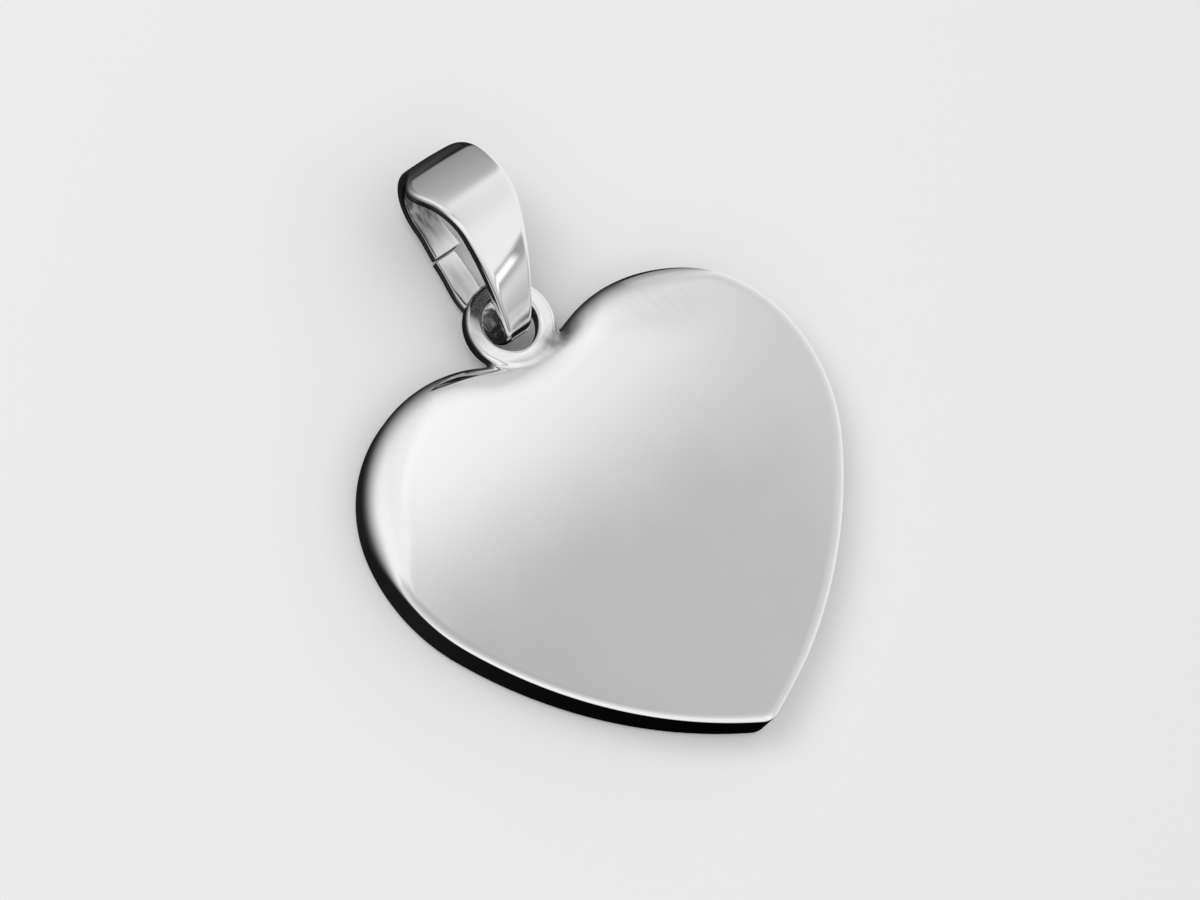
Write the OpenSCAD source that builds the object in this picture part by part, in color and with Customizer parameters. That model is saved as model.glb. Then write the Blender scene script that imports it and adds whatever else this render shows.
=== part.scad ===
// Heart pendant: a solid heart plate with a soldered eye, and a tapered strip bail hung in the eye.
// The origin is the middle of the flat back. +X is the heart's right, +Y runs towards the bail and +Z
// comes up out of the polished face. The pendant lies on its back.

/* [Heart] */
// Width across the lobes, mm
heart_width = 23.8; // [16:0.1:34]
// Height from the tip to the tops of the lobes, mm
heart_height = 21.2; // [14:0.1:30]
// Thickness at the rim of the face, mm
heart_thickness = 2.1; // [1.9:0.05:3.5]
// Rise of the face from its rim to its middle, mm
crown = 0.12; // [0:0.01:0.4]
// Radius of the lobes, mm
lobe_r = 6.8; // [5.5:0.1:8]
// Turn of a lobe from its top to the shoulder, degrees
lobe_turn = 83; // [70:1:88]
// Radius of the shoulder below a lobe, mm
shoulder_r = 9.1; // [8:0.1:10.5]
// Turn of the shoulder, degrees
shoulder_turn = 37; // [30:1:45]
// Turn of a lobe from its top to the notch, degrees
notch_turn = 23.5; // [18:0.5:28]
// Radius of the tip, mm
tip_r = 1; // [0.3:0.05:1.2]

/* [Edges] */
// Reach of the soft roll round the tops of the lobes, mm
soft_edge = 1.8; // [1:0.05:2]
// Drop of that roll below the face, mm
soft_drop = 1; // [0.6:0.05:1.2]
// Radius of the crisp edge on the flanks, mm
crisp_edge = 0.15; // [0.1:0.05:0.3]
// Place along Y, on the heart's axis, above which the roll is full, mm
soft_from = 9.5; // [9:0.1:10.5]
// Place along Y, on the heart's axis, below which the edge is crisp, mm
crisp_to = 5.3; // [4.5:0.1:6.5]
// How much further the roll comes down on the left than on the right, mm for each mm of X
soft_skew = 0.3; // [0:0.05:0.4]
// Radius of the edge round the back, mm
back_edge = 0.2; // [0.1:0.05:0.3]

/* [Eye] */
// Radius of the eye, outside, mm
eye_r = 2.15; // [1.9:0.05:2.4]
// Radius of its hole, mm
eye_hole_r = 1.32; // [1.2:0.02:1.4]
// Thickness of the eye, mm
eye_thickness = 0.9; // [0.7:0.05:1]
// Height of the eye's middle plane above the back, mm
eye_level = 1.4; // [1.35:0.05:1.5]
// Offset of the eye from the heart's axis, mm
eye_shift = -0.2; // [-0.5:0.05:0]
// Distance of the eye's middle above the tops of the lobes, mm
eye_rise = 0.55; // [0.4:0.05:0.8]
// Rounding of the eye's edges, mm
eye_edge = 0.2; // [0.1:0.05:0.3]
// Radius of the solder in the corners beside the eye, mm
solder_r = 0.4; // [0.2:0.05:0.5]

/* [Bail] */
// Thickness of the strip, mm
strip = 0.55; // [0.45:0.05:0.6]
// Width of the strip under the eye's bar, mm
back_width = 1.45; // [1:0.05:1.5]
// Width where the strip leaves the hole, mm
neck_width = 1.7; // [1.2:0.05:1.7]
// Width of the front at its top, mm
top_width = 4.8; // [4:0.05:5.6]
// Depth of the back strip's middle below the eye's middle, mm
back_drop = 1.03; // [1:0.01:1.04]
// Length of the lower back strip, mm
back_length = 3.9; // [3.8:0.02:4]
// Place of its end beyond the middle of the eye's bar, mm
seam_from_bar = 2.7; // [2.6:0.05:2.8]
// Step between the two ends at the seam, mm
seam_step = 0.4; // [0.2:0.05:0.5]
// Gap of the seam, mm
seam_gap = 0.08; // [0.05:0.01:0.3]
// Radius of the turn through the hole, mm
turn_r = 0.91; // [0.85:0.01:0.95]
// Angle of the front as it leaves the hole, degrees
front_angle = 50; // [48:0.5:51]
// Rounding along the front's two edges, mm
front_edge = 0.22; // [0.1:0.02:0.22]
// Turn of the bail about Z as it lies, degrees
bail_yaw = 6; // [0:1:8]
// Lean of the bail to one side as it lies, degrees
bail_lean = 12; // [8:1:12]
// Place of the bail along the eye's bar, mm
bail_slide = -0.1; // [-0.12:0.02:0]

/* [Hidden] */
$fn = 96;
silver = [0.78, 0.79, 0.8];

// The outline of the right half: notch, lobe, shoulder, flank and tip, each an arc tangent to the next.
lobe_end = 90 - lobe_turn;
flank_start = lobe_end - shoulder_turn;
lobe_x = heart_width / 2 - shoulder_r + (shoulder_r - lobe_r) * cos(lobe_end);
lobe_y = heart_height / 2 - lobe_r;
notch_r = lobe_x / sin(notch_turn) - lobe_r;
notch_y = lobe_y + (lobe_r + notch_r) * cos(notch_turn);
shoulder_x = lobe_x - (shoulder_r - lobe_r) * cos(lobe_end);
shoulder_y = lobe_y - (shoulder_r - lobe_r) * sin(lobe_end);
flank_way = [cos(flank_start), sin(flank_start)];
flank_from = [shoulder_x, shoulder_y] + shoulder_r * flank_way;
tip_y = tip_r - heart_height / 2;
tip_gap = [0, tip_y] - flank_from;
flank_r = (tip_gap * tip_gap - tip_r * tip_r) / (-2 * (tip_gap * flank_way + tip_r));
flank_c = flank_from - flank_r * flank_way;
flank_end = atan2(tip_y - flank_c.y, -flank_c.x);

// Points of an arc with the outward normal at each: [x, y, nx, ny].
function arc(c, r, from, to, steps, side) =
    [for (k = [0 : steps - 1]) let (t = from + (to - from) * k / steps)
        [c.x + r * cos(t), c.y + r * sin(t), side * cos(t), side * sin(t)]];

right_side = concat(
    arc([0, notch_y], notch_r, -90, notch_turn - 90, 4, -1),
    arc([lobe_x, lobe_y], lobe_r, 90 + notch_turn, lobe_end, 15, 1),
    arc([shoulder_x, shoulder_y], shoulder_r, lobe_end, flank_start, 6, 1),
    arc(flank_c, flank_r, flank_start, flank_end, 9, 1),
    arc([0, tip_y], tip_r, flank_end, -90, 3, 1),
    [[0, -heart_height / 2, 0, -1]]);
last_right = len(right_side) - 1;
outline = concat(right_side,
    [for (k = [last_right - 1 : -1 : 1]) let (p = right_side[k]) [-p[0], p[1], -p[2], p[3]]]);

// A ring of the plate: the outline moved inwards by a reach that varies round it, at a given height.
function soft(p) =
    let (u = min(1, max(0, (p[1] - soft_skew * p[0] - crisp_to) / (soft_from - crisp_to)))) u * u * (3 - 2 * u);
function edge_size(p, full) = crisp_edge + (full - crisp_edge) * soft(p);
function back_ring(a) =
    [for (p = outline) let (d = back_edge * (1 - cos(a)))
        [p[0] - d * p[2], p[1] - d * p[3], back_edge * (1 - sin(a))]];
function face_ring(a) =
    [for (p = outline) let (d = edge_size(p, soft_edge) * (1 - cos(a)), h = edge_size(p, soft_drop) * (1 - sin(a)))
        [p[0] - d * p[2], p[1] - d * p[3], heart_thickness - h]];
function crown_ring(k) =
    [for (p = face_ring(90)) [p.x * k, p.y * k, heart_thickness + crown * (1 - k * k)]];

// A closed skin over a stack of rings with the same number of points.
module skin(rings) {
    n = len(rings[0]);
    m = len(rings);
    sides = [for (i = [0 : m - 2], k = [0 : n - 1]) let (j = (k + 1) % n)
        each [[i * n + k, i * n + j, i * n + n + j], [i * n + k, i * n + n + j, i * n + n + k]]];
    first = [for (k = [n - 1 : -1 : 0]) k];
    last = [for (k = [0 : n - 1]) (m - 1) * n + k];
    polyhedron(points = [for (r = rings, p = r) p], faces = concat([first], sides, [last]), convexity = 6);
}

// The eye: a flat ring with rounded edges.
eye_y = heart_height / 2 + eye_rise;
module eye_ring() {
    a = eye_hole_r;
    b = eye_r;
    h = eye_thickness / 2;
    e = eye_edge;
    f = eye_edge * (1 - sin(45));
    translate([eye_shift, eye_y, eye_level])
        rotate_extrude()
            polygon([[a + e, -h], [b - e, -h], [b - f, f - h], [b, e - h], [b, h - e], [b - f, h - f],
                [b - e, h], [a + e, h], [a + f, h - f], [a, h - e], [a, e - h], [a + f, f - h]]);
}

module heart() {
    color(silver) union() {
        skin(concat(
            [for (a = [90, 45, 0]) back_ring(a)],
            [for (a = [0, 20, 37, 54, 72, 90]) face_ring(a)],
            [for (k = [0.85, 0.6, 0.3]) crown_ring(k)]));
        eye_ring();
        translate([eye_shift - 1.65, eye_y - 1.2, eye_level]) sphere(r = solder_r, $fn = 24);
        translate([eye_shift + 1.7, eye_y - 1.25, eye_level]) sphere(r = solder_r - 0.1, $fn = 24);
    }
}

// The bail's loop seen from the side: s runs along the back strip, h stands up from it, and the middle of
// the eye's bar is the zero of both. The strip starts at the seam, runs back under the bar, turns up
// through the hole, rises over the front to the crest and comes round the top to the seam again.
// Each row of the way: [turn in degrees, radius or length, width at its end, middle of that width].
loop_start = [seam_from_bar, -back_drop, 180];
start_size = [back_width - 0.2, 0.06];
way_up = [
    [0, back_length - 1.8, back_width, -0.15],
    [0, 1.8, back_width - 0.15, -0.06],
    [180 - front_angle, turn_r, neck_width, 0],
    [22, 13.7, top_width * 0.75, 0],
    [46.5, 2.3, top_width * 0.91, 0],
    [16, 5.5, top_width, 0],
    [31, 2.2, top_width - 1.3, 0.6],
    [30, 2.2, top_width - 2, 0.6]];
before_end = step(loop_start, way_up, len(way_up));
end_turn = before_end[2] + 180;
end_r = (before_end[1] + back_drop - seam_step) / (1 + cos(before_end[2]));
way = concat(way_up, [
    [end_turn / 2, end_r, back_width + 0.3, 0.3],
    [end_turn / 2, end_r, back_width - 0.05, 0.2],
    [0, before_end[0] + end_r * sin(before_end[2]) - seam_from_bar - seam_gap, back_width + 0.2, 0.08]]);

// The place and heading after one row of the way, and after the first n rows.
function go(p, turn, size) = turn == 0 ? [p[0] + size * cos(p[2]), p[1] + size * sin(p[2]), p[2]]
    : let (e = p[2] - turn) [p[0] + size * (sin(p[2]) - sin(e)), p[1] + size * (cos(e) - cos(p[2])), e];
function step(p, rows, n) = n == 0 ? p : let (q = step(p, rows, n - 1)) go(q, rows[n - 1][0], rows[n - 1][1]);

// The width and its middle run smoothly from one end of a row to the next.
function size_at(i) = i < 0 ? start_size : [way[i][2], way[i][3]];
function way_length(i) = way[i][0] == 0 ? way[i][1] : way[i][0] * PI / 180 * way[i][1];
function size_slope(i) = i < 0 ? [0, 0]
    : i > len(way) - 2 ? (size_at(i) - size_at(i - 1)) / way_length(i)
    : (size_at(i + 1) - size_at(i - 1)) / (way_length(i) + way_length(i + 1));
function smooth_size(i, u) =
    let (m = way_length(i))
    (2 * u * u * u - 3 * u * u + 1) * size_at(i - 1) + (u * u * u - 2 * u * u + u) * m * size_slope(i - 1)
    + (3 * u * u - 2 * u * u * u) * size_at(i) + (u * u * u - u * u) * m * size_slope(i);

// One cross-section of the strip, with softer edges outside than inside.
inner_edge = 0.18;
function strip_section(w) = let (a = w / 2, b = strip / 2, e = front_edge, f = e * (1 - sin(45)))
    [[a, inner_edge - b], [a, b - e], [a - f, b - f], [a - e, b], [e - a, b], [f - a, b - f],
        [-a, b - e], [-a, inner_edge - b], [inner_edge - a, -b], [a - inner_edge, -b]];
function strip_ring(i, u) =
    let (row = way[i],
        p = go(step(loop_start, way, i), row[0] * u, row[0] * u == 0 ? row[1] * u : row[1]),
        z = smooth_size(i, u))
    [for (c = strip_section(z[0])) [c.x + z[1], p[0] - c.y * sin(p[2]), p[1] + c.y * cos(p[2])]];

way_steps = [3, 2, 14, 8, 9, 3, 5, 5, 6, 5, 2];
bar_y = eye_y + (eye_r + eye_hole_r) / 2;
module bail() {
    color(silver)
        translate([eye_shift + bail_slide, bar_y, eye_level])
            rotate([0, bail_lean, bail_yaw])
                skin(concat(
                    [for (i = [0 : len(way) - 1], k = [0 : way_steps[i] - 1]) strip_ring(i, k / way_steps[i])],
                    [strip_ring(len(way) - 1, 1)]));
}

heart();
bail();
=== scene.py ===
import bpy
import numpy as np
from mathutils import Matrix, Vector


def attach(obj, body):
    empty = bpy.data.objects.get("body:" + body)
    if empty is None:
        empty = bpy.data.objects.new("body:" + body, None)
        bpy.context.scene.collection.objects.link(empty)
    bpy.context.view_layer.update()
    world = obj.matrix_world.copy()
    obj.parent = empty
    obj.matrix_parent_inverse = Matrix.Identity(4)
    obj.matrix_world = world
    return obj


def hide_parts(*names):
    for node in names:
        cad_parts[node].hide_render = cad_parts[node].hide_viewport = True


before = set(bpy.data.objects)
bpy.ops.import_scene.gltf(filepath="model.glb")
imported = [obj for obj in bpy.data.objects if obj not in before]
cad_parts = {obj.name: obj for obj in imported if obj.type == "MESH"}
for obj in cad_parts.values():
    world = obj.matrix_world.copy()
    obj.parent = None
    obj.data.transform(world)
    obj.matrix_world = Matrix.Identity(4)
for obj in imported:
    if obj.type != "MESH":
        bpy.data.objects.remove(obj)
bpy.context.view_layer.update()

MM = 0.001

# The heart's sizes, in mm. They are the solid's, but for a wider edge round the face and a flatter crown.
WIDTH = 23.8
HEIGHT = 21.2
THICK = 2.1
CROWN = 0.108
CROWN_REACH = WIDTH / 2
LOBE_R = 6.8
LOBE_TURN = 83
SHOULDER_R = 9.1
SHOULDER_TURN = 37
NOTCH_TURN = 23.5
TIP_R = 1
SOFT_EDGE = 1.9
SOFT_DROP = 1
CRISP_EDGE = 0.5
CRISP_DROP = 0.13
SOFT_FROM = 9.5
CRISP_TO = 5.3
SOFT_SKEW = 0.3
BACK_EDGE = 0.2
# The power of the face edge's curve: 2 is round, and a little more joins the face softly.
ROLL = 2.5

# The eye's sizes, in mm.
EYE_R = 2.15
EYE_HOLE_R = 1.32
EYE_BAR_R = (EYE_R + EYE_HOLE_R) / 2
EYE_THICK = 0.9
EYE_LEVEL = 1.4
EYE_X = -0.2
EYE_Y = HEIGHT / 2 + 0.55
EYE_EDGE = 0.2
# The eye's sections round its hole, and how far apart the points of a section are at most, in mm.
EYE_STEPS = 200
EYE_SPACING = 0.07

# How wide the solder runs from the corner between plate and eye, how much wider on the right, and how far
# right of the eye's middle it begins to widen and over what length, in mm.
SOLDER = 0.3
SOLDER_MORE = 0.25
SOLDER_WIDENS_FROM = 0.3
SOLDER_WIDENS_OVER = 1.4
# What part of the skin the solder may move: half its width, and where it starts along Y and Z, in mm.
SOLDER_HALF_WIDTH = 4.2
SOLDER_FROM_Y = 7.4
SOLDER_FROM_Z = 0.05
# What part of the outline is near enough to count there, in mm.
NEAR_HALF_WIDTH = 7
NEAR_FROM_Y = 4

# The bail's sizes, in mm and degrees. The strip's edges are given by their radius, and its inner edges
# lose the cut where they are clear of the eye. The cut begins at these places along and above the middle
# of the eye's bar, and takes the lengths to become full.
STRIP = 0.55
STRIP_OUTER_EDGE = 0.22
STRIP_INNER_EDGE = 0.18
STRIP_INNER_CUT = 0.11
CUT_ALONG = 0.6
CUT_ALONG_LENGTH = 0.7
CUT_ABOVE = 0.3
CUT_ABOVE_LENGTH = 0.9
STRIP_END_EDGE = 0.04
BACK_WIDTH = 1.45
NECK_WIDTH = 1.7
TOP_WIDTH = 4.8
FRONT_DOME = 0.045
BACK_DROP = 1.03
BACK_LENGTH = 3.9
BACK_TAPER = 1.8
SEAM_FROM_BAR = 2.7
SEAM_STEP = 0.4
SEAM_GAP = 0.08
TURN_R = 0.91
FRONT_ANGLE = 50
BAIL_YAW = 6
BAIL_LEAN = 12
BAIL_SLIDE = -0.1
# Where the strip's way starts beside the eye's bar, its heading there, and the strip's width and middle.
LOOP_START = (SEAM_FROM_BAR, -BACK_DROP, 180)
START_SIZE = (BACK_WIDTH - 0.2, 0.06)
# The rings of the strip are no further apart than this, in mm and degrees.
RING_SPACING = 0.1
RING_TURN = 2.5

# The radius of the floor, in mm.
FLOOR_R = 700

# The camera: its lens and sensor and its place, in mm, and the ways to its back and to its right.
LENS = 150
SENSOR_WIDTH = 36
CAMERA_PLACE = (-89.9, -25.08, 209.4)
CAMERA_BACK = (-0.3946, -0.1275, 0.91)
CAMERA_RIGHT = (0.8001, -0.5347, 0.2721)


def sin(degrees):
    return np.sin(np.radians(degrees))


def cos(degrees):
    return np.cos(np.radians(degrees))


def smooth(u):
    u = np.clip(u, 0, 1)
    return u * u * (3 - 2 * u)


def add_object(name, data):
    obj = bpy.data.objects.new(name, data)
    bpy.context.scene.collection.objects.link(obj)
    return obj


def make_mesh(name, points, faces):
    """An object of points in mm."""
    mesh = bpy.data.meshes.new(name)
    mesh.from_pydata((np.asarray(points) * MM).tolist(), [], faces)
    mesh.validate()
    mesh.shade_smooth()
    return add_object(name, mesh)


def skin_faces(rings, n):
    """Quads between rings of n points that run clockwise about their way, and one face over each end."""
    faces = [list(range(n))]
    for i in range(rings - 1):
        for k in range(n):
            j = (k + 1) % n
            faces.append([i * n + k, i * n + n + k, i * n + n + j, i * n + j])
    faces.append([(rings - 1) * n + k for k in reversed(range(n))])
    return faces


def arc(centre, r, start, end, side, spacing):
    """Points of an arc without its last one, with the outward normals."""
    n = max(2, int(np.ceil(abs(end - start) * np.pi / 180 * r / spacing)))
    t = start + (end - start) * np.arange(n) / n
    way = np.stack([cos(t), sin(t)], 1)
    return np.hstack([np.array(centre) + r * way, side * way])


def quarter(x, z, r, start):
    """Seven points of a quarter turn about x, z."""
    return np.array([[x + r * cos(t), z + r * sin(t)] for t in np.linspace(start, start + 90, 7)])


def heart_outline():
    """The outline clockwise from the notch: x, y and the outward normal of each point."""
    lobe_end = 90 - LOBE_TURN
    flank_start = lobe_end - SHOULDER_TURN
    lobe = np.array([WIDTH / 2 - SHOULDER_R + (SHOULDER_R - LOBE_R) * cos(lobe_end), HEIGHT / 2 - LOBE_R])
    notch_r = lobe[0] / sin(NOTCH_TURN) - LOBE_R
    notch = [0, lobe[1] + (LOBE_R + notch_r) * cos(NOTCH_TURN)]
    shoulder = lobe - (SHOULDER_R - LOBE_R) * np.array([cos(lobe_end), sin(lobe_end)])
    way = np.array([cos(flank_start), sin(flank_start)])
    begin = shoulder + SHOULDER_R * way
    tip = np.array([0, TIP_R - HEIGHT / 2])
    gap = tip - begin
    flank_r = (gap @ gap - TIP_R ** 2) / (-2 * (gap @ way + TIP_R))
    flank = begin - flank_r * way
    flank_end = np.degrees(np.arctan2(tip[1] - flank[1], -flank[0]))
    right = np.vstack([
        arc(notch, notch_r, -90, NOTCH_TURN - 90, side=-1, spacing=0.06),
        arc(lobe, LOBE_R, 90 + NOTCH_TURN, lobe_end, side=1, spacing=0.08),
        arc(shoulder, SHOULDER_R, lobe_end, flank_start, side=1, spacing=0.16),
        arc(flank, flank_r, flank_start, flank_end, side=1, spacing=0.16),
        arc(tip, TIP_R, flank_end, -90, side=1, spacing=0.04),
        [[0, -HEIGHT / 2, 0, -1]]])
    left = right[-2:0:-1] * [-1, 1, -1, 1]
    return np.vstack([right, left])


OUTLINE = heart_outline()


def edge_size(x, y, crisp, full):
    """Reach or drop of the face's edge: full over the tops of the lobes, crisp along the flanks."""
    return crisp + (full - crisp) * smooth((y - SOFT_SKEW * x - CRISP_TO) / (SOFT_FROM - CRISP_TO))


def face_edge(x, y):
    """Reach and drop of the face's edge at points of the outline."""
    return edge_size(x, y, CRISP_EDGE, SOFT_EDGE), edge_size(x, y, CRISP_DROP, SOFT_DROP)


def crown(x, y):
    return CROWN * (1 - (x * x + y * y) / CROWN_REACH ** 2)


def plate():
    """The heart plate: back edge, wall, rolled face edge and the crowned face, as rings from the back up."""
    x, y, nx, ny = OUTLINE.T
    reach, drop = face_edge(x, y)
    wall_top = THICK + crown(x, y) - drop
    rings = []
    for a in np.linspace(90, 0, 7):
        d = BACK_EDGE * (1 - cos(a))
        rings.append([x - d * nx, y - d * ny, np.full_like(x, BACK_EDGE * (1 - sin(a)))])
    for u in np.linspace(0, 1, 16)[1:-1]:
        rings.append([x, y, BACK_EDGE + (wall_top - BACK_EDGE) * u])
    for a in np.linspace(0, 90, 25):
        d = reach * (1 - max(cos(a), 0) ** (2 / ROLL))
        px = x - d * nx
        py = y - d * ny
        rings.append([px, py, THICK + crown(px, py) - drop * (1 - sin(a) ** (2 / ROLL))])
    # The rings of the face shrink towards its middle, the first ones in smaller steps.
    for k in [*np.linspace(1, 0.8, 15)[1:], *np.linspace(0.8, 0.1, 22)[1:], 0.05, 0.02]:
        px = (x - reach * nx) * k
        py = (y - reach * ny) * k
        rings.append([px, py, THICK + crown(px, py)])
    points = np.vstack([np.stack(ring, 1) for ring in rings])
    return make_mesh("plate", points, skin_faces(len(rings), len(x)))


def eye():
    """The eye: a flat ring with rounded edges."""
    flat = EYE_THICK / 2 - EYE_EDGE
    section = np.vstack([
        quarter(EYE_R - EYE_EDGE, -flat, EYE_EDGE, -90),
        quarter(EYE_R - EYE_EDGE, flat, EYE_EDGE, 0),
        quarter(EYE_HOLE_R + EYE_EDGE, flat, EYE_EDGE, 90),
        quarter(EYE_HOLE_R + EYE_EDGE, -flat, EYE_EDGE, 180)])
    dense = []
    for p, q in zip(section, np.roll(section, -1, 0)):
        n = max(1, int(np.ceil(np.hypot(*(q - p)) / EYE_SPACING)))
        for u in np.arange(n) / n:
            dense.append(p + (q - p) * u)
    r, z = np.array(dense).T
    m = len(r)
    points = []
    faces = []
    for i in range(EYE_STEPS):
        t = 360 * i / EYE_STEPS
        points.append(np.stack([EYE_X + r * cos(t), EYE_Y + r * sin(t), EYE_LEVEL + z], 1))
        here = i * m
        after = (i + 1) % EYE_STEPS * m
        for k in range(m):
            j = (k + 1) % m
            faces.append([here + k, after + k, after + j, here + j])
    return make_mesh("eye", np.vstack(points), faces)


def distance_to_plate(p):
    """Signed distance of points to the plate near the notch, in mm."""
    near = OUTLINE[(np.abs(OUTLINE[:, 0]) < NEAR_HALF_WIDTH) & (OUTLINE[:, 1] > NEAR_FROM_Y)]
    d = np.empty(len(p))
    edge = np.empty((len(p), 2))
    # A few points at a time keep the table of distances small.
    part = 2000
    for s in range(0, len(p), part):
        q = p[s:s + part]
        gap = q[:, None, :2] - near[None, :, :2]
        i = (gap ** 2).sum(2).argmin(1)
        d[s:s + part] = (gap[np.arange(len(q)), i] * near[i, 2:]).sum(1)
        edge[s:s + part] = near[i, :2]
    reach, drop = face_edge(*edge.T)
    # Above, how far a point is past the curve of the face's edge, made a distance by the curve's slope.
    # The two small numbers keep it from dividing by zero.
    x = np.maximum((d + reach) / reach, 0)
    z = np.maximum((p[:, 2] - THICK - crown(p[:, 0], p[:, 1]) + drop) / drop, 0)
    v = np.maximum((x ** ROLL + z ** ROLL) ** (1 / ROLL), 0.05)
    upper = (v - 1) / np.hypot((x / v) ** (ROLL - 1) / reach, (z / v) ** (ROLL - 1) / drop + 1e-3)
    # Below, the distance to the round edge of the back.
    x = d + BACK_EDGE
    z = BACK_EDGE - p[:, 2]
    lower = np.minimum(np.maximum(x, z), 0) + np.hypot(np.maximum(x, 0), np.maximum(z, 0)) - BACK_EDGE
    return np.maximum(upper, lower)


def distance_to_eye(p):
    r = np.hypot(p[:, 0] - EYE_X, p[:, 1] - EYE_Y)
    x = np.abs(r - EYE_BAR_R) - ((EYE_R - EYE_HOLE_R) / 2 - EYE_EDGE)
    z = np.abs(p[:, 2] - EYE_LEVEL) - (EYE_THICK / 2 - EYE_EDGE)
    return np.hypot(np.maximum(x, 0), np.maximum(z, 0)) + np.minimum(np.maximum(x, z), 0) - EYE_EDGE


def solder_reach(p):
    """How wide the solder runs at points, which is wider on the right of the eye."""
    return SOLDER + SOLDER_MORE * smooth((p[:, 0] - EYE_X - SOLDER_WIDENS_FROM) / SOLDER_WIDENS_OVER)


def joined(p):
    """Signed distance to plate and eye with solder run into the corner between them."""
    a = distance_to_plate(p)
    b = distance_to_eye(p)
    k = solder_reach(p)
    h = np.maximum(k - np.abs(a - b), 0) / k
    return np.minimum(a, b) - h * h * k / 4


def gradient(f, p, step=0.004):
    g = np.stack([(f(p + e) - f(p - e)) / (2 * step) for e in np.eye(3) * step], 1)
    return g / np.maximum(np.linalg.norm(g, axis=1, keepdims=True), 1e-9)


def united(first, second):
    """The mesh of two objects as one, which are then removed."""
    union = first.modifiers.new("union", "BOOLEAN")
    union.operation = "UNION"
    union.solver = "EXACT"
    union.object = second
    mesh = bpy.data.meshes.new_from_object(first.evaluated_get(bpy.context.evaluated_depsgraph_get()))
    bpy.data.objects.remove(first)
    bpy.data.objects.remove(second)
    return mesh


def make_heart():
    """Plate and eye as one skin, with the solder's fillet between them."""
    mesh = united(plate(), eye())
    mesh.name = "heart_skin"
    n = len(mesh.vertices)
    co = np.empty(n * 3)
    mesh.vertices.foreach_get("co", co)
    co = co.reshape(-1, 3) / MM
    x, y, z = co.T
    local = np.where((np.abs(x) < SOLDER_HALF_WIDTH) & (y > SOLDER_FROM_Y) & (z > SOLDER_FROM_Z))[0]
    p = co[local]
    moves = np.abs(distance_to_plate(p) - distance_to_eye(p)) < solder_reach(p)
    # Four short steps along the slope of the distance bring each point onto the joined surface.
    q = p[moves]
    for _ in range(4):
        q = q - np.clip(joined(q), -0.1, 0.1)[:, None] * gradient(joined, q)
    p[moves] = q
    co[local] = p
    mesh.vertices.foreach_set("co", (co * MM).ravel())
    mesh.update()
    normals = np.empty(n * 3)
    mesh.vertex_normals.foreach_get("vector", normals)
    normals = normals.reshape(-1, 3)
    normals[local] = gradient(joined, p)
    mesh.shade_smooth()
    mesh.normals_split_custom_set_from_vertices(normals.tolist())
    return add_object("polished_heart", mesh)


def go(p, turn, size, part=1):
    """The place and heading after part of a straight or an arc, in the upright plane of the bail."""
    if turn == 0:
        return (p[0] + size * part * cos(p[2]), p[1] + size * part * sin(p[2]), p[2])
    heading = p[2] - turn * part
    return (p[0] + size * (sin(p[2]) - sin(heading)), p[1] + size * (cos(heading) - cos(p[2])), heading)


def bail_way():
    """The strip's way from the seam through the eye, up the front and down the back to the seam again.

    Each row has its turn in degrees, 0 for a straight, its radius or its length, and at its end the
    strip's width and the middle of that width.
    """
    rows = [
        (0, BACK_LENGTH - BACK_TAPER, BACK_WIDTH, -0.15),
        (0, BACK_TAPER, BACK_WIDTH - 0.15, -0.06),
        (180 - FRONT_ANGLE, TURN_R, NECK_WIDTH, 0),
        (22, 13.7, TOP_WIDTH * 0.75, 0),
        (46.5, 2.3, TOP_WIDTH * 0.91, 0),
        (16, 5.5, TOP_WIDTH, 0),
        (31, 2.2, TOP_WIDTH - 1.3, 0.6),
        (30, 2.2, TOP_WIDTH - 2, 0.6)]
    p = LOOP_START
    for turn, size, _, _ in rows:
        p = go(p, turn, size)
    # The last turn and straight close the loop one step above its start.
    turn = p[2] + 180
    r = (p[1] + BACK_DROP - SEAM_STEP) / (1 + cos(p[2]))
    rows += [
        (turn / 2, r, BACK_WIDTH + 0.3, 0.3),
        (turn / 2, r, BACK_WIDTH - 0.05, 0.2),
        (0, p[0] + r * sin(p[2]) - SEAM_FROM_BAR - SEAM_GAP, BACK_WIDTH + 0.2, 0.08)]
    return rows


def bail_section(width, inner, inset=0.0):
    """The strip's cross-section, counted round, with the radius of its two edges inside the loop."""
    a = width / 2 - inset
    b = STRIP / 2 - inset
    outer = STRIP_OUTER_EDGE
    corners = [quarter(a - outer, b - outer, outer, 0), quarter(outer - a, b - outer, outer, 90),
               quarter(inner - a, inner - b, inner, 180), quarter(a - inner, inner - b, inner, 270)]
    points = []
    for i, steps in enumerate((14, 3, 14, 3)):
        last = corners[i][-1]
        after = corners[(i + 1) % 4][0]
        points.extend(corners[i])
        for u in np.arange(1, steps) / steps:
            points.append(last + (after - last) * u)
    points = np.array(points)
    # The dome starts where the strip is 1.8 mm wide, is full from 3 to 3.4 mm and 0.4 of that at 4.8 mm.
    dome = FRONT_DOME * smooth((width - 1.8) / 1.2) * (1 - 0.6 * smooth((width - 3.4) / 1.4))
    top = points[:, 1] > 0
    points[top, 1] += dome * (1 - (points[top, 0] / (width / 2)) ** 2)
    return points


def between(u, length, start, end, start_slope, end_slope):
    """A value at the part u of a length, on a cubic from start to end with these slopes."""
    return ((2 * u ** 3 - 3 * u ** 2 + 1) * start + (u ** 3 - 2 * u ** 2 + u) * length * start_slope
            + (3 * u ** 2 - 2 * u ** 3) * end + (u ** 3 - u ** 2) * length * end_slope)


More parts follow.
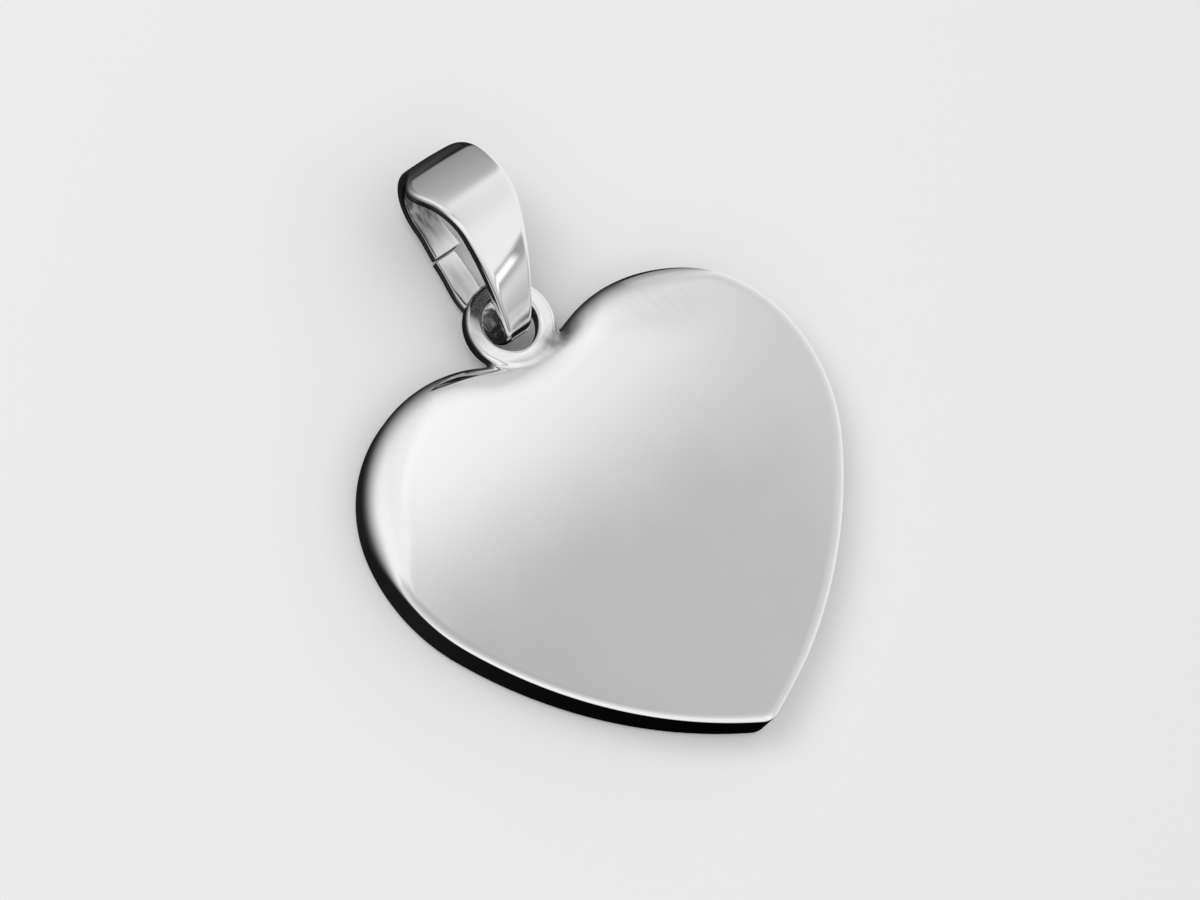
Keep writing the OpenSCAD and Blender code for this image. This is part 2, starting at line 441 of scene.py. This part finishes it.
def make_bail():
    """The strip swept along its loop."""
    way = bail_way()
    sizes = [np.array(START_SIZE)] + [np.array(row[2:]) for row in way]
    lengths = [size if turn == 0 else np.radians(turn) * size for turn, size, _, _ in way]
    slopes = [np.zeros(2)]
    for i in range(len(way) - 1):
        slopes.append((sizes[i + 2] - sizes[i]) / (lengths[i] + lengths[i + 1]))
    slopes.append((sizes[-1] - sizes[-2]) / lengths[-1])
    yaw = Matrix.Rotation(np.radians(BAIL_YAW), 3, "Z")
    lean = Matrix.Rotation(np.radians(BAIL_LEAN), 3, "Y")
    turn_to_row = np.array(yaw @ lean)
    place = np.array([EYE_X + BAIL_SLIDE, EYE_Y + EYE_BAR_R, EYE_LEVEL])
    rings = []

    def add(p, size, inset=0.0, ahead=0.0):
        along, up, heading = p
        width, middle = size
        # Clear of the eye means beyond its bar and low, so on the back strips.
        cut = smooth((along - CUT_ALONG) / CUT_ALONG_LENGTH) * smooth((CUT_ABOVE - up) / CUT_ABOVE_LENGTH)
        across, out = bail_section(width, STRIP_INNER_EDGE - STRIP_INNER_CUT * cut, inset).T
        ring = np.stack([across + middle,
                         along - out * sin(heading) + ahead * cos(heading),
                         up + out * cos(heading) + ahead * sin(heading)], 1)
        rings.append(ring @ turn_to_row.T + place)

    for t in (90, 60, 30):
        add(LOOP_START, START_SIZE, STRIP_END_EDGE * (1 - cos(t)), STRIP_END_EDGE * (1 - sin(t)))
    p = LOOP_START
    for i, (turn, size, _, _) in enumerate(way):
        steps = max(2, int(np.ceil(max(lengths[i] / RING_SPACING, turn / RING_TURN))))
        for u in np.arange(steps) / steps:
            # The first ring of the way stands where the rounded end stops.
            if i == 0:
                u = max(u, STRIP_END_EDGE / lengths[0])
            add(go(p, turn, size, u), between(u, lengths[i], *sizes[i:i + 2], *slopes[i:i + 2]))
        p = go(p, turn, size)
    for t in (0, 30, 60, 90):
        add(p, sizes[-1], STRIP_END_EDGE * (1 - cos(t)), STRIP_END_EDGE * (sin(t) - 1))

    n = len(rings[0])
    obj = make_mesh("polished_bail", np.vstack(rings), skin_faces(len(rings), n))
    # The faces inside the loop get the second material. The face over the start is number 0.
    inside = bail_section(BACK_WIDTH, STRIP_INNER_EDGE)[:, 1] < 0
    for face in obj.data.polygons:
        k = (face.index - 1) % n
        face.material_index = int(inside[k] and inside[(k + 1) % n])
    return obj


class Nodes:
    """Short ways to add shader nodes to a tree, where a value is a constant or the output of a node."""

    def __init__(self, tree):
        self.tree = tree

    def add(self, kind, **settings):
        node = self.tree.nodes.new(kind)
        for key, value in settings.items():
            setattr(node, key, value)
        return node

    def feed(self, value, socket):
        if isinstance(value, bpy.types.NodeSocket):
            self.tree.links.new(value, socket)
        else:
            socket.default_value = value

    def fade(self, value, start, end, low=0, high=1, kind="SMOOTHSTEP"):
        """Goes softly from low to high while the value goes from start to end."""
        node = self.add("ShaderNodeMapRange", interpolation_type=kind)
        self.feed(value, node.inputs["Value"])
        for name, limit in zip(("From Min", "From Max", "To Min", "To Max"), (start, end, low, high)):
            self.feed(limit, node.inputs[name])
        return node.outputs[0]

    def math(self, operation, a, b=0):
        node = self.add("ShaderNodeMath", operation=operation)
        self.feed(a, node.inputs[0])
        self.feed(b, node.inputs[1])
        return node.outputs[0]

    def times(self, a, b):
        return self.math("MULTIPLY", a, b)

    def less(self, value, share):
        """The value without this share of it."""
        return self.times(value, self.math("SUBTRACT", 1, share))

    def mix(self, factor, a, b, kind="FLOAT"):
        node = self.add("ShaderNodeMix", data_type=kind)
        for name, value in zip(("Factor", "A", "B"), (factor, a, b)):
            self.feed(value, node.inputs[name])
        return node.outputs["Result"]

    def ramp(self, value, stops):
        """A result read off straight lines between stops of (value, result)."""
        first = stops[0][0]
        last = stops[-1][0]
        node = self.add("ShaderNodeValToRGB")
        row = node.color_ramp.elements
        while len(row) < len(stops):
            row.new(0.5)
        for element, (at, result) in zip(row, stops):
            element.position = (at - first) / (last - first)
            element.color = (result, result, result, 1)
        self.feed(self.fade(value, first, last, kind="LINEAR"), node.inputs[0])
        return node.outputs[0]

    def about(self, point, middle, turn, half_sizes):
        """The point seen from a middle, with its turn in the plane of the heart, in half sizes."""
        node = self.add("ShaderNodeMapping", vector_type="TEXTURE")
        node.inputs["Location"].default_value = middle
        node.inputs["Rotation"].default_value = (0, 0, np.radians(turn))
        node.inputs["Scale"].default_value = half_sizes
        self.feed(point, node.inputs["Vector"])
        return node.outputs[0]

    def noise(self, point, turn, length, width, detail):
        """Noise whose spots have this length and width in mm, the length turned in the plane of the heart."""
        node = self.add("ShaderNodeTexNoise")
        node.inputs["Scale"].default_value = 1
        node.inputs["Detail"].default_value = detail
        self.feed(self.about(point, (0, 0, 0), turn, (length, width, width)), node.inputs["Vector"])
        return node.outputs["Fac"]


def new_material(name):
    """A material, its nodes and its shader's inputs."""
    material = bpy.data.materials.new(name)
    material.use_nodes = True
    tree = material.node_tree
    return material, Nodes(tree), tree.nodes["Principled BSDF"].inputs


# The silver's colour goes between these two.
SILVER_TONES = ((0.87, 0.868, 0.862, 1), (0.91, 0.909, 0.905, 1))
# What part of a noise's values counts: for the roughness, for the hairlines and for the streaks of the wear
# and painted shade.
NOISE_SPAN = (0.3, 0.7)
HAIRLINES = (0.6, 0.75)
STREAKS = (0.35, 0.65)
# What a hairline adds to the roughness, and the least that the colour darkens towards the darker colour at
# the places of wear and painted shade.
HAIRLINE_ROUGHNESS = 0.02
LEAST_DULL_AND_SHADE = 0.75
# Where a place of wear and painted shade fades out, in parts of its half size.
WEAR_AND_SHADE_RIM = (0.2, 1)
# The strength of the relief, its height in mm, and the hairlines' share of that height.
BUMP_STRENGTH = 0.02
BUMP_HEIGHT = 0.02
LINES_HEIGHT = 0.2


def silver(name, polish, brushed, turns, wear_and_shade_places, wear_and_shade_colour):
    """Polished silver with an uneven polish and hairlines, duller, brushed and darker round its places of
    wear and painted shade.

    polish and brushed are the lowest and highest roughness. turns are the ways of the hairlines and of
    the streaks of the wear and painted shade, in degrees. Each place of wear and painted shade has its
    middle, its half length and half width in mm, the turn of its length in degrees, and its depth, which is 1
    where nothing of the polish is left.
    The darker colour it goes towards is mostly painted shade.
    """
    material, nodes, shader = new_material(name)
    place = nodes.add("ShaderNodeTexCoord")
    in_mm = nodes.add("ShaderNodeMapping")
    in_mm.inputs["Scale"].default_value = (1 / MM, 1 / MM, 1 / MM)
    nodes.feed(place.outputs["Object"], in_mm.inputs["Vector"])
    point = in_mm.outputs[0]
    clouds = nodes.noise(point, turn=0, length=3, width=3, detail=5)
    lines = nodes.noise(point, turn=turns[0], length=4, width=0.03, detail=2)
    streaks = nodes.noise(point, turn=turns[1], length=1.2, width=0.3, detail=4)
    wear_and_shade = 0
    for middle, half_length, half_width, turn, depth in wear_and_shade_places:
        span = nodes.add("ShaderNodeVectorMath", operation="LENGTH")
        nodes.feed(nodes.about(point, middle, turn, (half_length, half_width, half_width)), span.inputs[0])
        wear_and_shade = nodes.math("MAXIMUM", wear_and_shade, nodes.fade(span.outputs["Value"], *WEAR_AND_SHADE_RIM, depth, 0))

    hairlines = nodes.fade(lines, *HAIRLINES, 0, HAIRLINE_ROUGHNESS)
    rough = nodes.math("ADD", nodes.fade(clouds, *NOISE_SPAN, *polish), hairlines)
    nodes.feed(nodes.mix(wear_and_shade, rough, nodes.fade(streaks, *NOISE_SPAN, *brushed)), shader["Roughness"])
    tint = nodes.mix(clouds, *SILVER_TONES, "RGBA")
    # Round these places the colour darkens. In the corner by the eye, under the bail's front and in the eye,
    # this darkening is painted shade.
    dullness_and_shade = nodes.times(wear_and_shade, nodes.fade(streaks, *STREAKS, LEAST_DULL_AND_SHADE, 1))
    nodes.feed(nodes.mix(dullness_and_shade, tint, (*wear_and_shade_colour, 1), "RGBA"), shader["Base Color"])
    shader["Metallic"].default_value = 1
    bump = nodes.add("ShaderNodeBump")
    bump.inputs["Strength"].default_value = BUMP_STRENGTH
    bump.inputs["Distance"].default_value = BUMP_HEIGHT * MM
    nodes.feed(nodes.mix(wear_and_shade, nodes.times(lines, LINES_HEIGHT), streaks), bump.inputs["Height"])
    nodes.feed(bump.outputs["Normal"], shader["Normal"])
    return material


def plate_silver():
    """The heart's silver: brushed and darker on the left of the eye, a painted shade in the corner between
    the eye and the lobe right of the notch, and faintly worn on a lobe.
    """
    wear_and_shade = [((EYE_X - 1.3, EYE_Y + 0.9, EYE_LEVEL), 2, 1.6, 50, 0.6),
            # This place's dark colour is painted shade in the valley where the eye meets the right lobe.
            ((EYE_X + 1.7, EYE_Y - 1.6, 1.9), 1.9, 0.8, 12, 0.95),
            ((6.2, 8.6, 1.9), 4, 2.2, -25, 0.12)]
    return silver("silver_plate", polish=(0.05, 0.08), brushed=(0.14, 0.24), turns=(35, 105),
                  wear_and_shade_places=wear_and_shade, wear_and_shade_colour=(0.22, 0.22, 0.215))


def strip_silver():
    """The bail's silver, brushed where it passes through the eye and darkened there with painted shade."""
    # This place darkens the colour as painted shade where the strip passes through the eye.
    wear_and_shade = [((0, EYE_Y + 0.2, EYE_LEVEL), 1.6, 1.6, 0, 0.7)]
    return silver("silver_strip", polish=(0.05, 0.08), brushed=(0.1, 0.2), turns=(100, 100),
                  wear_and_shade_places=wear_and_shade, wear_and_shade_colour=(0.45, 0.45, 0.44))


def inside_silver():
    """The silver inside the bail's loop, brushed and darkened with painted shade at the top under the front,
    down the back and in the eye.
    """
    # All three places darken the colour as painted shade.
    wear_and_shade = [((-1, EYE_Y + 7, EYE_LEVEL - 0.4), 3, 3, 0, 1),
            ((-0.8, EYE_Y + 2.8, EYE_LEVEL - 0.8), 2.2, 1.4, 96, 0.45),
            ((-0.4, EYE_Y + 0.3, EYE_LEVEL - 0.6), 1.6, 1.6, 0, 1)]
    return silver("silver_inside", polish=(0.1, 0.2), brushed=(0.2, 0.35), turns=(96, 96),
                  wear_and_shade_places=wear_and_shade, wear_and_shade_colour=(0.12, 0.12, 0.12))


def add_floor():
    """A pale round floor that the silver doesn't mirror."""
    rim = [[FLOOR_R * cos(t), FLOOR_R * sin(t), 0] for t in range(0, 360, 5)]
    floor = make_mesh("floor", rim, [list(range(len(rim)))])
    paint, _, shader = new_material("pale_floor")
    shader["Base Color"].default_value = (0.82, 0.82, 0.82, 1)
    shader["Roughness"].default_value = 0.7
    shader["Specular IOR Level"].default_value = 0.2
    floor.data.materials.append(paint)
    floor.visible_glossy = False


def add_lamp():
    """A round lamp behind on the left that gives the soft shadow, and that the silver doesn't mirror."""
    lamp = bpy.data.lights.new("softbox", "AREA")
    lamp.shape = "DISK"
    lamp.size = 0.3
    lamp.energy = 0.6
    softbox = add_object("softbox", lamp)
    softbox.location = (-0.16, 0.2, 0.34)
    softbox.rotation_euler = Vector(softbox.location).to_track_quat("Z", "Y").to_euler()
    softbox.visible_glossy = False
    softbox.visible_camera = False


# Brightness of the surround by the sine of the elevation: behind and on the left, in front, on the right,
# low on the right in front, and in the right corner behind.
BACK_SIDE = [(-1, 0.01), (-0.77, 0.02), (-0.5, 0.04), (-0.17, 0.09), (0, 0.16), (0.17, 0.23),
             (0.34, 0.33), (0.5, 0.46), (0.64, 0.6), (0.77, 0.8), (0.87, 0.92), (1, 1)]
FRONT_SIDE = [(-1, 0.01), (-0.1, 0.01), (0.05, 0.4), (0.34, 0.68), (0.5, 0.85), (0.64, 0.92),
              (0.87, 0.95), (1, 1)]
RIGHT_BOX = [(-1, 0.9), (-0.2, 0.95), (0, 0.9), (0.3, 0.95), (0.5, 0.9), (0.66, 0.83), (0.8, 0.72),
             (0.88, 0.66), (1, 0.66)]
LOW_RIGHT = [(-1, 0.35), (-0.2, 0.35), (-0.08, 0.45), (0.02, 0.6), (0.08, 0.72), (0.115, 0.7),
             (0.145, 0.46), (0.165, 0.4), (0.2, 0.36), (0.235, 0.34), (0.248, 0.5), (0.262, 0.95),
             (1, 0.95)]
CORNER_BOX = [(-1, 0.01), (-0.22, 0.02), (-0.15, 0.3), (0.1, 0.36), (0.34, 0.46), (0.5, 0.62),
              (0.7, 0.66), (1, 0.66)]
# By x, what the tent's brightness is multiplied by, and the share that the gap between its boxes takes.
BRIGHTER = [(-1, 1), (-0.3, 1.06), (-0.05, 1.03), (0.1, 0.97), (0.28, 1), (0.33, 1.11), (0.38, 1.06),
            (0.44, 0.96), (1, 0.96)]
GAP_DEPTH = [(-0.6, 0.1), (-0.2, 0.3), (0, 0.38), (0.2, 0.47), (0.26, 0.5), (0.34, 0.5), (0.38, 0.45),
             (0.46, 0.34), (1, 0.34)]
# Where the front begins, by y.
FRONT = (-0.05, -0.35)
# The dark below the horizon: where it begins by z, its depth, and where it ends towards the back and the
# left, by y less half of x.
DARK_LOW = (0.02, -0.05)
DARK_DEPTH = 0.9
DARK_SIDE = (-0.5, 0.2)
# The gap overhead: its edge behind by y, how that edge is shifted by x and how far, and its end in front.
GAP_BACK = (0.17, 0.105)
GAP_SHIFT = (0.25, -0.15)
GAP_SHIFT_Y = 0.16
GAP_FRONT = (0.05, -0.35)
# The right side: its edge by x, and where it ends behind and in front, by the azimuth in degrees.
RIGHT = (0.43, 0.475)
RIGHT_END_BEHIND = (82, 70)
RIGHT_END_FRONT = (-66, -54)
# The corner behind and the low box in front, by the azimuth, and the top of the low box by z.
CORNER = (33, 47)
LOW_BOX = (-33, -37)
LOW_BOX_TOP = (0.32, 0.25)
# The bright spot in the low box: its foot and top by z, its side by the azimuth, and its brightness.
SPOT_FOOT = (0.165, 0.18)
SPOT_TOP = (0.225, 0.235)
SPOT_SIDE = (-39.5, -42)
SPOT_LIGHT = 0.8
# The plain tone that the camera sees behind everything.
BACKDROP = 0.8


def tent_light(nodes, x, y, z):
    """The surround behind, on the left and in front, by the parts x, y and z of its direction."""
    light = nodes.mix(nodes.fade(y, *FRONT), nodes.ramp(z, BACK_SIDE), nodes.ramp(z, FRONT_SIDE))
    slant = nodes.math("SUBTRACT", y, nodes.times(x, 0.5))
    dark = nodes.times(nodes.fade(z, *DARK_LOW, 0, DARK_DEPTH), nodes.fade(slant, *DARK_SIDE, 1, 0))
    light = nodes.times(nodes.less(light, dark), nodes.ramp(x, BRIGHTER))
    # The gap between the boxes overhead has a clear edge behind and a soft one in front.
    edge = nodes.math("SUBTRACT", y, nodes.fade(x, *GAP_SHIFT, 0, GAP_SHIFT_Y, "LINEAR"))
    gap = nodes.times(nodes.fade(edge, *GAP_BACK), nodes.fade(y, *GAP_FRONT, 1, 0))
    return nodes.less(light, nodes.times(gap, nodes.ramp(x, GAP_DEPTH)))


def right_light(nodes, z, azimuth):
    """The surround on the right, by the height z of its direction and its azimuth in degrees."""
    light = nodes.mix(nodes.fade(azimuth, *CORNER), nodes.ramp(z, RIGHT_BOX), nodes.ramp(z, CORNER_BOX))
    spot = nodes.times(nodes.fade(z, *SPOT_FOOT, 0, SPOT_LIGHT), nodes.fade(z, *SPOT_TOP, 1, 0))
    spot = nodes.times(spot, nodes.fade(azimuth, *SPOT_SIDE))
    low = nodes.times(nodes.fade(azimuth, *LOW_BOX), nodes.fade(z, *LOW_BOX_TOP))
    return nodes.mix(low, light, nodes.math("ADD", nodes.ramp(z, LOW_RIGHT), spot))


def add_surround():
    """A soft tent with brighter boxes that the silver mirrors, and one plain tone for the camera."""
    world = bpy.data.worlds.new("studio")
    bpy.context.scene.world = world
    world.use_nodes = True
    nodes = Nodes(world.node_tree)
    place = nodes.add("ShaderNodeTexCoord")
    axes = nodes.add("ShaderNodeSeparateXYZ")
    nodes.feed(place.outputs["Generated"], axes.inputs[0])
    x, y, z = axes.outputs
    azimuth = nodes.math("DEGREES", nodes.math("ARCTAN2", y, x))
    ends = nodes.times(nodes.fade(azimuth, *RIGHT_END_BEHIND), nodes.fade(azimuth, *RIGHT_END_FRONT))
    right = nodes.times(ends, nodes.fade(x, *RIGHT))
    light = nodes.mix(right, tent_light(nodes, x, y, z), right_light(nodes, z, azimuth))
    path = nodes.add("ShaderNodeLightPath")
    shown = nodes.mix(path.outputs["Is Camera Ray"], light, BACKDROP)
    nodes.feed(shown, world.node_tree.nodes["Background"].inputs["Color"])


def add_camera():
    """The photo's view: from the left front and high up, through a long lens."""
    data = bpy.data.cameras.new("camera")
    data.lens = LENS
    data.sensor_width = SENSOR_WIDTH
    data.sensor_fit = "HORIZONTAL"
    data.clip_start = 0.005
    data.clip_end = 10
    camera = add_object("camera", data)
    back = Vector(CAMERA_BACK).normalized()
    up = back.cross(Vector(CAMERA_RIGHT)).normalized()
    turn = Matrix((up.cross(back), up, back)).transposed()
    camera.matrix_world = Matrix.Translation(Vector(CAMERA_PLACE) * MM) @ turn.to_4x4()
    bpy.context.scene.camera = camera


heart = make_heart()
heart.data.materials.append(plate_silver())
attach(heart, "heart")
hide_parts("heart")

bail = make_bail()
bail.data.materials.append(strip_silver())
bail.data.materials.append(inside_silver())
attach(bail, "bail")
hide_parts("bail")

add_floor()
add_lamp()
add_surround()
add_camera()
bpy.context.scene.view_settings.view_transform = "Standard"
